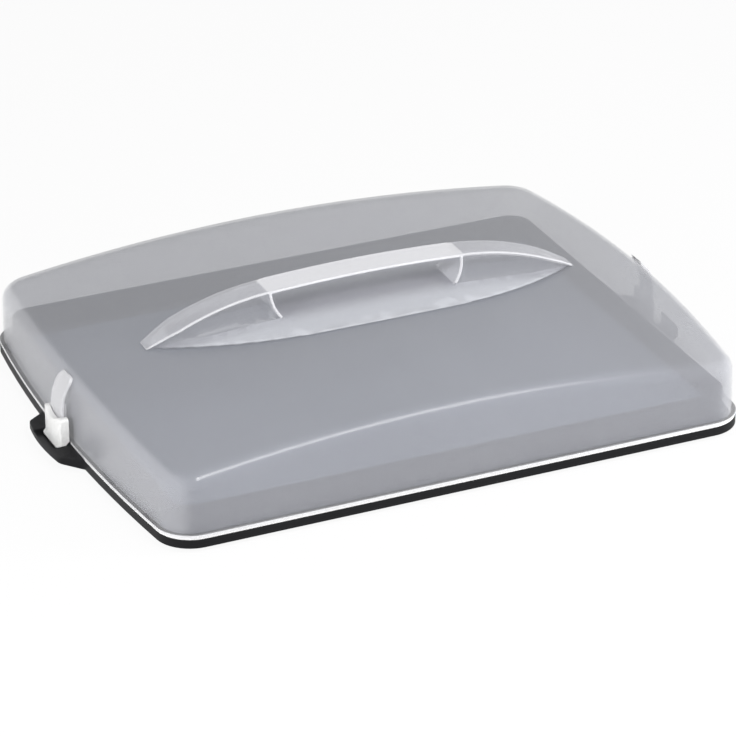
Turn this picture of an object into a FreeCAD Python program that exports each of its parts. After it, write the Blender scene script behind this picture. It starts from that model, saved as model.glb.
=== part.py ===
"""Wet palette: a black tray with sponge and sheet, a frosted lid with a carrying handle, a clip at each end.

Millimetres. +X runs along the length, +Z is up, and the origin is the middle of the tray's foot.
"""
import FreeCAD
import Part
import Sketcher
import math
import os
import re
from FreeCAD import Placement, Rotation, Vector

# The driving sizes. Heights are above the table unless the name says otherwise.
SIZES = {
    # rim: the outline that tray, seal and lid share, with bowed ends and straight long sides
    "rim_length": 450,
    "rim_depth": 352,
    "end_radius": 1330,
    "rim_corner": 26,
    "rim_height": 10,
    # tray
    "rim_plate": 2.5,
    "skirt_drop": 6.5,
    "skirt_wall": 2,
    "end_ledge": 20.5,
    "side_ledge": 12.5,
    "well_corner": 14,
    "well_wall": 2.3,
    "well_floor": 2.5,
    "well_draft": 1,
    "upstand_height": 20,
    "foot_inset": 9,
    "foot_width": 4,
    "foot_height": 1.5,
    "rib_thick": 1.6,
    "rib_depth": 3.5,
    "rib_pitch": 52,
    # seal ring
    "seal_thick": 1.4,
    "seal_width": 4.4,
    "seal_inset": 0.4,
    "seal_tongue": 1.8,
    "groove_depth": 1.3,
    "seal_clearance": 0.1,
    # lid
    "flange_width": 3,
    "flange_thick": 1.8,
    "lid_wall": 1.8,
    "lid_draft": 0.7,
    "lid_rise": 66.5,
    "crown_length_radius": 1363,
    "crown_depth_radius": 1870,
    "shoulder_radius": 10.5,
    # handle
    "handle_length": 328,
    "handle_rise": 21.3,
    "arch_radius": 1170,
    "arch_half": 75,
    "arch_end_radius": 197,
    "bar_width": 22.4,
    "bar_thick": 2.2,
    "handle_wall": 2.3,
    "side_slope": 0.225,
    "grip_length": 144,
    "grip_foot_length": 128,
    "ridge_end_width": 13,
    "ridge_taper": 0.22,
    "lens_width": 99,
    "lens_middle_length": 110,
    "lens_middle_radius": 605,
    "lens_end_width": 8,
    "lens_end_radius": 207,
    "lens_thick": 1,
    "weld_gap": 0.2,
    # latch: lug on the tray, clip, pin and the tongue on the lid
    "lug_reach": 17,
    "lug_tip_width": 60,
    "lug_root_width": 84,
    "lug_bow_radius": 150,
    "lug_corner": 6,
    "lug_rise": 1.6,
    "lug_tip_thick": 4.6,
    "lug_gap": 0.5,
    "pin_reach": 6,
    "pin_drop": 1.2,
    "pin_radius": 1.5,
    "pin_length": 46,
    "pin_end_room": 0.2,
    "pin_fit": 0.04,
    "pin_running_fit": 0.06,
    "clip_open": 60,
    "clip_standoff": 0.7,
    "clip_width": 31,
    "clip_height": 21,
    "clip_dip": 3,
    "clip_bulge_radius": 70,
    "clip_horn_round": 2.2,
    "knuckle_radius": 3,
    "slot_clearance": 0.3,
    "keeper_width": 21,
    "keeper_tip_width": 20,
    "keeper_tip_round": 6,
    "keeper_thick": 2,
    "keeper_standoff": 2.2,
    "keeper_foot": 6,
    "keeper_bend_height": 25,
    "keeper_bend_radius": 33.6,
    "keeper_bend": 44,
    "keeper_rib": 2.5,
    "keeper_clearance": 0.4,
    "keeper_swing_room": 3,
    "snap_radius": 0.9,
    "snap_clearance": 0.25,
    "snap_height": 12,
    # contents
    "sponge_clearance": 0.8,
    "sponge_thick": 9,
    "sponge_round": 2,
    "paper_end_margin": 0.25,
    "paper_side_margin": 9.75,
    "paper_thick": 0.3,
    "paper_corner": 3,
}

doc = FreeCAD.newDocument("wet_palette")
sheet = doc.addObject("Spreadsheet::Sheet", "dims")
for row, (alias, size) in enumerate(SIZES.items(), start=1):
    sheet.set(f"A{row}", alias)
    sheet.set(f"B{row}", str(size))
    sheet.setAlias(f"B{row}", alias)
doc.recompute()
probe = doc.addObject("App::FeaturePython", "probe")

UP = Vector(0, 0, 1)
DOWN = Vector(0, 0, -1)
ALONG_DEPTH = Vector(0, 1, 0)
TO_END = Vector(1, 0, 0)
PLAN = ("z", Rotation())
FRONT = ("y", Rotation(Vector(1, 0, 0), 90))
SIDE = ("x", Rotation(Vector(1, 1, 1), 120))


def tie(text):
    """The expression with every size's name pointing at its cell."""
    return re.sub(r"[a-z][a-z_]*", lambda word: f"dims.{word[0]}" if word[0] in SIZES else word[0], text)


def value(text):
    """What an expression comes to now."""
    return float(probe.evalExpression(tie(text)))


def draw_loop(drawing, points, arcs):
    """A closed outline. arcs maps a span's first point to (radius, 1 to turn left or -1 to turn right)."""
    spots = [Vector(value(right), value(up), 0) for right, up in points]
    spans = []
    for first, start in enumerate(spots):
        stop = spots[(first + 1) % len(spots)]
        if first not in arcs:
            spans.append((drawing.addGeometry(Part.LineSegment(start, stop), False), 1, 2))
            continue
        text, turn = arcs[first]
        radius = value(text)
        chord = stop - start
        to_left = Vector(-chord.y, chord.x, 0).normalize()
        centre = (start + stop) * 0.5 + to_left * (turn * math.sqrt(radius**2 - chord.Length**2 / 4))
        ordered = (start, stop) if turn > 0 else (stop, start)
        angles = [math.atan2(spot.y - centre.y, spot.x - centre.x) for spot in ordered]
        sweep = (angles[1] - angles[0]) % (2 * math.pi)
        circle = Part.Circle(centre, UP, radius)
        arc = drawing.addGeometry(Part.ArcOfCircle(circle, angles[0], angles[0] + sweep), False)
        spans.append((arc, 1, 2) if turn > 0 else (arc, 2, 1))
        held = drawing.addConstraint(Sketcher.Constraint("Radius", arc, radius))
        drawing.setExpression(f"Constraints[{held}]", tie(text))
    for first, (span, start, stop) in enumerate(spans):
        after, after_start, _ = spans[(first + 1) % len(spans)]
        drawing.addConstraint(Sketcher.Constraint("Coincident", span, stop, after, after_start))
        for kind, text in zip(("DistanceX", "DistanceY"), points[first]):
            held = drawing.addConstraint(Sketcher.Constraint(kind, -1, 1, span, start, value(text)))
            drawing.setExpression(f"Constraints[{held}]", tie(text))


def sketch(name, plane, offset, *loops):
    """A sketch of closed outlines on the PLAN, FRONT or SIDE plane, moved along that plane's axis."""
    axis, turn = plane
    drawing = doc.addObject("Sketcher::SketchObject", name)
    drawing.Placement = Placement(Vector(), turn)
    drawing.setExpression(f".Placement.Base.{axis}", tie(offset))
    for points, arcs in loops:
        draw_loop(drawing, points, arcs)
    return drawing


def prism(name, drawing, length, along=UP, draft=None, both_ways=False):
    """A sketch drawn out to a solid, with its sides drafted outwards by an angle where one is given."""
    solid = doc.addObject("Part::Extrusion", name)
    solid.Base = drawing
    solid.DirMode = "Custom"
    solid.Dir = along
    solid.Solid = True
    solid.Symmetric = both_ways
    solid.setExpression("LengthFwd", tie(length))
    if draft:
        solid.setExpression("TaperAngle", tie(draft))
    return solid


def across(name, drawing, width):
    """A front sketch drawn out to both sides of the middle plane."""
    return prism(name, drawing, width, ALONG_DEPTH, both_ways=True)


def cylinder(name, radius, length, x, z, start=None):
    """A cylinder along Y, centred on y = 0 unless its start is given."""
    solid = doc.addObject("Part::Cylinder", name)
    solid.Placement = Placement(Vector(), Rotation(Vector(1, 0, 0), -90))
    solid.setExpression("Radius", tie(radius))
    solid.setExpression("Height", tie(length))
    solid.setExpression(".Placement.Base.x", tie(x))
    solid.setExpression(".Placement.Base.y", tie(start or f"-({length}) / 2"))
    solid.setExpression(".Placement.Base.z", tie(z))
    return solid


def block(name, low, high):
    """A box between two corners."""
    solid = doc.addObject("Part::Box", name)
    for side, axis, start, stop in zip(("Length", "Width", "Height"), "xyz", low, high):
        solid.setExpression(side, tie(f"({stop}) - ({start})"))
        solid.setExpression(f".Placement.Base.{axis}", tie(start))
    return solid


def fuse(name, *solids):
    """Several solids as one."""
    whole = doc.addObject("Part::MultiFuse", name)
    whole.Shapes = list(solids)
    whole.Refine = True
    return whole


def shared(name, *solids):
    """What several solids have in common."""
    whole = doc.addObject("Part::MultiCommon", name)
    whole.Shapes = list(solids)
    return whole


def cut(name, base, *tools):
    """A solid less one tool, or less several."""
    whole = doc.addObject("Part::Cut", name)
    whole.Base = base
    whole.Tool = tools[0] if len(tools) == 1 else fuse(f"{name}_tools", *tools)
    return whole


def mirrored(name, source):
    """The same solid at the other end."""
    other = doc.addObject("Part::Mirroring", name)
    other.Source = source
    other.Normal = Vector(1, 0, 0)
    return other


def rounded_edges(name, solid, radius, is_rounded):
    """A solid with the edges that pass the test filleted."""
    body = doc.addObject("PartDesign::Body", name)
    body.BaseFeature = solid
    doc.recompute()
    base = body.Group[0]
    edges = [f"Edge{n}" for n, edge in enumerate(base.Shape.Edges, start=1) if is_rounded(edge)]
    fillet = body.newObject("PartDesign::Fillet", f"{name}_fillet")
    fillet.Base = (base, edges)
    fillet.setExpression("Radius", tie(radius))
    body.Tip = fillet
    return body


def bowed(inset):
    """The rim's outline moved inwards: straight long sides, bowed ends and round corners."""
    half_depth = f"(rim_depth / 2 - {inset})"
    end = f"(end_radius - {inset})"
    corner = f"(rim_corner - {inset})"
    between = "(end_radius - rim_corner)"
    corner_y = "(rim_depth / 2 - rim_corner)"
    corner_x = f"sqrt({between}^2 - {corner_y}^2)"
    end_centre = "(rim_length / 2 - end_radius)"
    side_x = f"{end_centre} + {corner_x}"
    end_x = f"{end_centre} + {end} * {corner_x} / {between}"
    end_y = f"{end} * {corner_y} / {between}"
    points = [
        (end_x, f"-{end_y}"),
        (end_x, end_y),
        (side_x, half_depth),
        (f"-({side_x})", half_depth),
        (f"-({end_x})", end_y),
        (f"-({end_x})", f"-{end_y}"),
        (f"-({side_x})", f"-{half_depth}"),
        (side_x, f"-{half_depth}"),
    ]
    arcs = {0: (end, 1), 4: (end, 1)}
    arcs.update({span: (corner, 1) for span in (1, 3, 5, 7)})
    return points, arcs


def rounded_rectangle(length, depth, corner):
    """A rectangle about the origin with round corners."""
    end, side = f"({length}) / 2", f"({depth}) / 2"
    end_in, side_in = f"({end} - ({corner}))", f"({side} - ({corner}))"
    points = [
        (end, f"-{side_in}"),
        (end, side_in),
        (end_in, side),
        (f"-{end_in}", side),
        (f"-{end}", side_in),
        (f"-{end}", f"-{side_in}"),
        (f"-{end_in}", f"-{side}"),
        (end_in, f"-{side}"),
    ]
    return points, {span: (corner, 1) for span in (1, 3, 5, 7)}


# Lid: a drafted wall on the rim's outline, closed by a top that is crowned both ways.
LID_FOOT = "rim_height + seal_thick"
LID_TOP = "(rim_height + lid_rise)"
ABOVE_LID = "lid_rise"


def crown(name, lift):
    """All that lies under the lid's top once that is raised by lift."""
    reach = "(rim_length / 2)"
    radius = f"(crown_length_radius + {lift})"
    centre = f"({LID_TOP} - crown_length_radius)"
    end = f"{centre} + sqrt({radius}^2 - {reach}^2)"
    low = "rim_height - skirt_drop"
    points = [(f"-{reach}", low), (reach, low), (reach, end), (f"-{reach}", end)]
    profile = sketch(f"{name}_profile", FRONT, "0", (points, {2: (radius, 1)}))
    solid = doc.addObject("Part::Revolution", name)
    solid.Source = profile
    solid.Axis = Vector(1, 0, 0)
    solid.setExpression(".Base.z", tie(f"{LID_TOP} - crown_depth_radius"))
    solid.setExpression("Angle", tie("2 * asin(rim_depth / 2 / (crown_depth_radius - lid_rise))"))
    solid.Symmetric = True
    solid.Solid = True
    return solid


def dome(name, inset, lift, radius):
    """The lid's outer or inner form: the drafted wall, the crowned top and the round shoulder between."""
    wall_plan = sketch(f"{name}_plan", PLAN, LID_FOOT, bowed(inset))
    wall = prism(f"{name}_wall", wall_plan, ABOVE_LID, draft="-lid_draft")
    sharp = shared(f"{name}_sharp", wall, crown(f"{name}_crown", lift))
    doc.recompute()
    shoulder_low = value("rim_height + lid_rise / 4")
    return rounded_edges(name, sharp, radius, lambda edge: edge.BoundBox.ZMin > shoulder_low)


outer_dome = dome("outer_dome", "flange_width", "0", "shoulder_radius")
inner_dome = dome("inner_dome", "(flange_width + lid_wall)", "-lid_wall", "shoulder_radius - lid_wall")
flange = prism("flange", sketch("flange_plan", PLAN, LID_FOOT, bowed("0")), "flange_thick")
lid_shell = cut("lid_shell", fuse("lid_outside", outer_dome, flange), inner_dome)

# Handle: a ridge with an arched top, cut through for the fingers, on a lens-shaped foot. Its wings are
# hollow.
ARCH_TOP = f"({LID_TOP} + handle_rise)"
ARCH_SINE = "(arch_half / arch_radius)"
ARCH_COSINE = f"sqrt(1 - {ARCH_SINE}^2)"
ARCH_CENTRE = f"({ARCH_TOP} - arch_radius)"


def arch_section(name, depth, sunk):
    """The ridge's outline in front view at one depth, sunk below the bar's top by an even distance."""
    middle = f"(arch_radius - {sunk})"
    end = f"(arch_end_radius - {sunk})"
    turn_x, turn_z = f"{middle} * {ARCH_SINE}", f"{ARCH_CENTRE} + {middle} * {ARCH_COSINE}"
    end_centre_x = f"(arch_radius - arch_end_radius) * {ARCH_SINE}"
    end_centre_z = f"{ARCH_CENTRE} + (arch_radius - arch_end_radius) * {ARCH_COSINE}"
    tip_x = f"(handle_length / 2 - {sunk})"
    tip_z = f"{end_centre_z} + sqrt({end}^2 - ({tip_x} - {end_centre_x})^2)"
    low = "rim_height"
    points = [
        (f"-{tip_x}", low),
        (tip_x, low),
        (tip_x, tip_z),
        (turn_x, turn_z),
        (f"-{turn_x}", turn_z),
        (f"-{tip_x}", tip_z),
    ]
    return sketch(name, FRONT, depth, (points, {2: (end, 1), 3: (middle, 1), 4: (end, 1)}))


def all_round(corners):
    """The corners of an outline that is alike on all four sides, from those of one quarter, end first."""
    right = [(x, f"-{y}") for x, y in reversed(corners)] + corners
    return right + [(f"-{x}", f"-({y})") for x, y in right]


def ridge(name, inwards, top_sunk):
    """The ridge with sloping sides and narrowed ends, or its inside where a wall is taken off."""
    foot_sunk = "(handle_rise + lens_thick + bar_thick)"
    sections = []
    for side, sunk in (("-", foot_sunk), ("-", top_sunk), ("", top_sunk), ("", foot_sunk)):
        depth = f"{side}(bar_width / 2 - {inwards} + {sunk} * side_slope)"
        sections.append(arch_section(f"{name}_section_{len(sections)}", depth, sunk))
    even = doc.addObject("Part::Loft", f"{name}_even")
    even.Sections = sections
    even.Ruled = True
    even.Solid = True
    tip_half = f"(ridge_end_width / 2 - {inwards})"
    side = f"(bar_width / 2 + 2 * {foot_sunk} * side_slope)"
    narrowing = f"(handle_length / 2 - ({side} - {tip_half}) / ridge_taper)"
    corners = all_round([("handle_length / 2", tip_half), (narrowing, side)])
    plan = sketch(f"{name}_plan", PLAN, LID_FOOT, (corners, {}))
    return shared(name, even, prism(f"{name}_ends", plan, f"{ABOVE_LID} + 2 * handle_rise"))


def grip_profile(name, grown):
    """The finger opening in front view, with its ends drawn in towards the foot, grown at its ends."""
    top_half = f"(grip_length / 2 + {grown})"
    foot_half = f"(grip_foot_length / 2 + {grown})"
    top_radius = "(arch_radius - bar_thick)"
    top_z = f"({ARCH_CENTRE} + sqrt({top_radius}^2 - {top_half}^2))"
    foot_z = f"({LID_TOP} - {foot_half}^2 / 2 / crown_length_radius)"
    end_radius = f"((({top_half} - {foot_half})^2 + ({top_z} - {foot_z})^2) / 2 / ({top_half} - {foot_half}))"
    low = "rim_height"
    points = [
        (f"-{foot_half}", low),
        (foot_half, low),
        (foot_half, foot_z),
        (top_half, top_z),
        (f"-{top_half}", top_z),
        (f"-{foot_half}", foot_z),
    ]
    arcs = {2: (end_radius, 1), 3: (top_radius, 1), 4: (end_radius, 1)}
    return sketch(name, FRONT, "0", (points, arcs))


HANDLE_DEPTH = "2 * lens_width"
lens_bow = "(lens_middle_radius - sqrt(lens_middle_radius^2 - lens_middle_length^2 / 4))"
lens_corners = [
    ("(handle_length / 2 - lens_thick)", "(lens_end_width / 2)"),
    ("lens_middle_length / 2", f"(lens_width / 2 - {lens_bow})"),
]
lens_arcs = {span: ("lens_end_radius", 1) for span in (0, 2, 4, 6)}
lens_arcs.update({span: ("lens_middle_radius", 1) for span in (3, 7)})
lens_plan = sketch("lens_plan", PLAN, LID_FOOT, (all_round(lens_corners), lens_arcs))
lens_top = crown("lens_top", "(weld_gap + lens_thick)")
lens = shared("lens", prism("lens_prism", lens_plan, ABOVE_LID), lens_top)
finger_opening = across("finger_opening", grip_profile("grip_profile", "0"), HANDLE_DEPTH)
solid_middle = across("solid_middle", grip_profile("solid_profile", "handle_wall"), HANDLE_DEPTH)
hollow = cut("hollow", ridge("ridge_inside", "handle_wall", "handle_wall"), solid_middle)
carry_handle = cut(
    "carry_handle",
    fuse("handle_outside", ridge("ridge_outside", "0", "0"), lens),
    crown("handle_seat", "weld_gap"),
    hollow,
    cut("finger_cut", finger_opening, lens_top),
)

# Tray: a drafted well whose wall stands up inside the lid, a rim with a turned-down skirt, and a foot ring.
WELL_LENGTH = "(rim_length - 2 * end_ledge)"
WELL_DEPTH = "(rim_depth - 2 * side_ledge)"
WELL_TOP = "rim_height + upstand_height"
WELL_FLOOR_TOP = "(foot_height + well_floor)"
SKIRT_FOOT = "(rim_height - skirt_drop)"
well_mouth = rounded_rectangle(WELL_LENGTH, WELL_DEPTH, "well_corner")
well_outline = rounded_rectangle(
    f"{WELL_LENGTH} + 2 * well_wall", f"{WELL_DEPTH} + 2 * well_wall", "(well_corner + well_wall)"
)
well = prism(
    "well",
    sketch("well_plan", PLAN, WELL_TOP, well_mouth),
    f"{WELL_TOP} - {WELL_FLOOR_TOP}",
    DOWN,
    "-well_draft",
)
well_outside = prism(
    "well_outside",
    sketch("well_outside_plan", PLAN, WELL_TOP, well_outline),
    f"{WELL_TOP} - foot_height",
    DOWN,
    "-well_draft",
)
rim = prism("rim", sketch("rim_plan", PLAN, "rim_height - rim_plate", bowed("0")), "rim_plate")
skirt_plan = sketch("skirt_plan", PLAN, SKIRT_FOOT, bowed("0"), bowed("skirt_wall"))
skirt = prism("skirt", skirt_plan, "skirt_drop - rim_plate / 2")
foot_plan = sketch(
    "foot_plan",
    PLAN,
    "0",
    rounded_rectangle(f"{WELL_LENGTH} - 2 * foot_inset", f"{WELL_DEPTH} - 2 * foot_inset", "well_corner"),
    rounded_rectangle(
        f"{WELL_LENGTH} - 2 * foot_inset - 2 * foot_width",
        f"{WELL_DEPTH} - 2 * foot_inset - 2 * foot_width",
        "(well_corner - foot_width)",
    ),
)
foot = prism("foot", foot_plan, "foot_height + well_floor / 2")


def rim_ribs():
    """Ribs under the rim, from the well's wall to the skirt, along both long sides and both ends."""
    rib_low, rib_high = "rim_height - rim_plate - rib_depth", "rim_height - rim_plate / 2"
    side_in, side_out = f"{WELL_DEPTH} / 2", "rim_depth / 2 - skirt_wall / 2"
    end_in = f"{WELL_LENGTH} / 2"
    ribs = []
    for along, reach, inner in (("x", WELL_LENGTH, side_in), ("y", WELL_DEPTH, end_in)):
        pairs = int(value(f"{reach} / 2 - rim_corner") // value("rib_pitch"))
        for step in range(-pairs, pairs + 1):
            start = f"({step} * rib_pitch - rib_thick / 2)"
            stop = f"({step} * rib_pitch + rib_thick / 2)"
            bow = f"(({step} * rib_pitch)^2 / 2 / end_radius)"
            outer = side_out if along == "x" else f"rim_length / 2 - skirt_wall / 2 - {bow}"
            for low, high in ((inner, outer), (f"-({outer})", f"-({inner})")):
                name = f"rib_{along}_{len(ribs)}"
                if along == "x":
                    ribs.append(block(name, (start, low, rib_low), (stop, high, rib_high)))
                else:
                    ribs.append(block(name, (low, start, rib_low), (high, stop, rib_high)))
    return ribs


# Latch at the right end. The left one is its mirror image.
RIM_END = "(rim_length / 2)"
PIN_X = f"({RIM_END} + pin_reach)"
PIN_Z = "(rim_height - pin_drop)"
LUG_ROOT = f"({RIM_END} - flange_width)"
LUG_OUT = f"({RIM_END} + lug_reach)"
LUG_TOP = "(rim_height + lug_rise)"
lug_tip_x = f"({LUG_OUT} - lug_bow_radius + sqrt(lug_bow_radius^2 - lug_tip_width^2 / 4))"
lug_points = [
    (LUG_ROOT, "-lug_root_width / 2"),
    (lug_tip_x, "-lug_tip_width / 2"),
    (lug_tip_x, "lug_tip_width / 2"),
    (LUG_ROOT, "lug_root_width / 2"),
]
lug_plan = sketch("lug_plan", PLAN, SKIRT_FOOT, (lug_points, {1: ("lug_bow_radius", 1)}))
lug_side_points = [
    (LUG_ROOT, SKIRT_FOOT),
    (f"{RIM_END}", SKIRT_FOOT),
    (LUG_OUT, f"{LUG_TOP} - lug_tip_thick"),
    (LUG_OUT, LUG_TOP),
    (LUG_ROOT, LUG_TOP),
]
lug_wedge = across("lug_wedge", sketch("lug_side", FRONT, "0", (lug_side_points, {})), "lug_root_width")
lug_form = shared("lug_form", lug_wedge, prism("lug_prism", lug_plan, f"{LUG_TOP} - {SKIRT_FOOT}"))
doc.recompute()


def is_lug_tip(edge):
    """Whether an edge is one of the two upright ones at the lug's outer corners."""
    box = edge.BoundBox
    return box.XMin > value(RIM_END) and max(box.XLength, box.YLength) < 1e-3


lug_rounded = rounded_edges("lug_rounded", lug_form, "lug_corner", is_lug_tip)
lid_room = prism("lid_room", sketch("lid_room_plan", PLAN, "rim_height", bowed("(-lug_gap)")), "2 * lug_rise")
lug = cut("lug", lug_rounded, lid_room)


# The slot in the lug: a round trough for the clip's knuckle, and above it the room that the clip swings in.
# The open clip lies on the slot's outer border, which slopes up from the trough to the lug's tip.
slot_width = "(clip_width + 2 * slot_clearance)"
trough = "(knuckle_radius + slot_clearance)"
ramp_foot_x = f"({PIN_X} + {trough} * cos(clip_open))"
ramp_foot_z = f"({PIN_Z} - {trough} * sin(clip_open))"
slot_in = f"({PIN_X} - {trough})"
slot_far = f"({LUG_OUT} + slot_clearance)"
swing_points = [
    (slot_in, PIN_Z),
    (PIN_X, PIN_Z),
    (ramp_foot_x, ramp_foot_z),
    (slot_far, f"{ramp_foot_z} + ({slot_far} - {ramp_foot_x}) / tan(clip_open)"),
    (slot_far, WELL_TOP),
    (slot_in, WELL_TOP),
]
swing_room = across("swing_room", sketch("swing_side", FRONT, "0", (swing_points, {})), slot_width)
slot = fuse("slot", swing_room, cylinder("knuckle_trough", trough, slot_width, PIN_X, PIN_Z))
lug_bore = cylinder(
    "lug_bore",
    "pin_radius + pin_fit",
    "pin_length / 2 + pin_end_room + lug_root_width / 2",
    PIN_X,
    PIN_Z,
    start="-(pin_length / 2 + pin_end_room)",
)
groove_inset = "(seal_inset + seal_width / 2 - seal_tongue / 2 - seal_clearance)"
groove_plan = sketch(
    "groove_plan",
    PLAN,
    "rim_height - groove_depth",
    bowed(groove_inset),
    bowed(f"({groove_inset} + seal_tongue + 2 * seal_clearance)"),
)
seal_groove = prism("seal_groove", groove_plan, "2 * groove_depth")
base_tray = cut(
    "base_tray",
    fuse("tray_whole", well_outside, rim, skirt, foot, lug, mirrored("left_lug", lug), *rim_ribs()),
    well,
    seal_groove,
    slot,
    mirrored("left_slot", slot),
    lug_bore,
    mirrored("left_lug_bore", lug_bore),
)

# Seal: a flat white ring under the lid's flange, keyed into the groove by a tongue.
seal_plan = sketch(
    "seal_plan", PLAN, "rim_height", bowed("seal_inset"), bowed("(seal_inset + seal_width)")
)
tongue_inset = "(seal_inset + seal_width / 2 - seal_tongue / 2)"
tongue_plan = sketch(
    "tongue_plan",
    PLAN,
    "rim_height - groove_depth + seal_clearance",
    bowed(tongue_inset),
    bowed(f"({tongue_inset} + seal_tongue)"),
)
lid_seal = fuse(
    "lid_seal",
    prism("seal_ring", seal_plan, "seal_thick"),
    prism("seal_key", tongue_plan, "groove_depth"),
)

# Keeper: the tongue on the lid's end. It hangs clear of the flange and bends in over the shoulder.
KEEPER_IN = f"({RIM_END} + keeper_standoff)"
KEEPER_OUT = f"({KEEPER_IN} + keeper_thick)"
KEEPER_FOOT = "(rim_height + keeper_foot)"
BEND_X = f"({KEEPER_OUT} - keeper_bend_radius)"
BEND_Z = "(rim_height + keeper_bend_height)"
TIP_Z = f"({BEND_Z} + keeper_bend_radius * sin(keeper_bend))"
bend_inside = "(keeper_bend_radius - keeper_thick)"
keeper_points = [
    (KEEPER_IN, KEEPER_FOOT),
    (KEEPER_OUT, KEEPER_FOOT),
    (KEEPER_OUT, BEND_Z),
    (f"{BEND_X} + keeper_bend_radius * cos(keeper_bend)", TIP_Z),
    (f"{BEND_X} + {bend_inside} * cos(keeper_bend)", f"{BEND_Z} + {bend_inside} * sin(keeper_bend)"),
    (KEEPER_IN, BEND_Z),
]
keeper_bends = {2: ("keeper_bend_radius", 1), 4: (bend_inside, -1)}
keeper_profile = sketch("keeper_profile", FRONT, "0", (keeper_points, keeper_bends))
keeper_band = across("keeper_band", keeper_profile, "keeper_width")
tip_half, tip_round = "(keeper_tip_width / 2)", "keeper_tip_round"
keeper_face_points = [
    ("-keeper_width / 2", KEEPER_FOOT),
    ("keeper_width / 2", KEEPER_FOOT),
    ("keeper_width / 2", BEND_Z),
    (tip_half, f"{TIP_Z} - {tip_round}"),
    (f"{tip_half} - {tip_round}", TIP_Z),
    (f"-({tip_half} - {tip_round})", TIP_Z),
    (f"-{tip_half}", f"{TIP_Z} - {tip_round}"),
    ("-keeper_width / 2", BEND_Z),
]
keeper_rounds = {3: (tip_round, 1), 5: (tip_round, 1)}
keeper_face = sketch("keeper_face", SIDE, BEND_X, (keeper_face_points, keeper_rounds))
keeper_sides = prism("keeper_sides", keeper_face, "2 * keeper_bend_radius", TO_END)
keeper_rib = block(
    "keeper_rib",
    (BEND_X, "-keeper_rib / 2", KEEPER_FOOT),
    (f"{KEEPER_IN} + keeper_thick / 2", "keeper_rib / 2", BEND_Z),
)
SNAP_X = f"({KEEPER_OUT} + keeper_clearance)"
SNAP_Z = "(rim_height + snap_height)"
right_keeper = cut(
    "latch_right_keeper",
    fuse("keeper_whole", shared("keeper_tongue", keeper_band, keeper_sides), keeper_rib),
    dome("keeper_seat", "(flange_width - weld_gap)", "weld_gap", "shoulder_radius + weld_gap"),
    cylinder("snap_groove", "snap_radius + snap_clearance", "2 * keeper_width", SNAP_X, SNAP_Z),
)

# Clip: a cup with a horn at each side of the tongue, turning on the pin at its foot.
CLIP_IN = f"({RIM_END} + clip_standoff)"
CLIP_OUT = f"({PIN_X} + knuckle_radius)"
CLIP_TOP = "(rim_height + clip_height)"
CLIP_WAIST = f"({PIN_X} - knuckle_radius)"
clip_points = [
    (CLIP_WAIST, PIN_Z),
    (CLIP_OUT, PIN_Z),
    (CLIP_OUT, CLIP_TOP),
    (CLIP_IN, CLIP_TOP),
    (CLIP_IN, f"{LID_FOOT} + flange_thick + slot_clearance"),
    (CLIP_WAIST, LID_FOOT),
]
clip_block = across("clip_block", sketch("clip_profile", FRONT, "0", (clip_points, {})), "clip_width")
clip_half, dip_half = "(clip_width / 2)", "(keeper_width / 2)"
dip_radius = f"(({dip_half}^2 + clip_dip^2) / 2 / clip_dip)"
horn = "clip_horn_round"
clip_face_points = [
    (f"-{clip_half}", PIN_Z),
    (clip_half, PIN_Z),
    (clip_half, f"{CLIP_TOP} - {horn}"),
    (f"{clip_half} - {horn}", CLIP_TOP),
    (dip_half, CLIP_TOP),
    (f"-{dip_half}", CLIP_TOP),
    (f"-({clip_half} - {horn})", CLIP_TOP),
    (f"-{clip_half}", f"{CLIP_TOP} - {horn}"),
]
clip_face_arcs = {2: (horn, 1), 4: (dip_radius, -1), 6: (horn, 1)}
clip_face = sketch("clip_face", SIDE, CLIP_IN, (clip_face_points, clip_face_arcs))
clip_bulge = doc.addObject("Part::Cylinder", "clip_bulge")
clip_bulge.setExpression("Radius", tie("clip_bulge_radius"))
clip_bulge.setExpression("Height", tie(CLIP_TOP))
clip_bulge.setExpression(".Placement.Base.x", tie(f"{CLIP_OUT} - clip_bulge_radius"))
pocket_half = "(keeper_width / 2 + keeper_clearance)"
keeper_pocket = block(
    "keeper_pocket",
    (RIM_END, f"-{pocket_half}", f"{KEEPER_FOOT} - keeper_swing_room"),
    (SNAP_X, pocket_half, f"{CLIP_TOP} + clip_dip"),
)
clip_cup = cut(
    "clip_cup",
    shared("clip_form", clip_block, prism("clip_sides", clip_face, "clip_width", TO_END), clip_bulge),
    keeper_pocket,
)
right_clip = cut(
    "latch_right_clip",
    fuse(
        "clip_whole",
        clip_cup,
        cylinder("knuckle", "knuckle_radius", "clip_width", PIN_X, PIN_Z),
        cylinder("snap_bead", "snap_radius", "keeper_width / 2", SNAP_X, SNAP_Z),
    ),
    cylinder("clip_bore", "pin_radius + pin_running_fit", "2 * clip_width", PIN_X, PIN_Z),
)
right_pin = cylinder("latch_right_pin", "pin_radius", "pin_length", PIN_X, PIN_Z)

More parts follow.
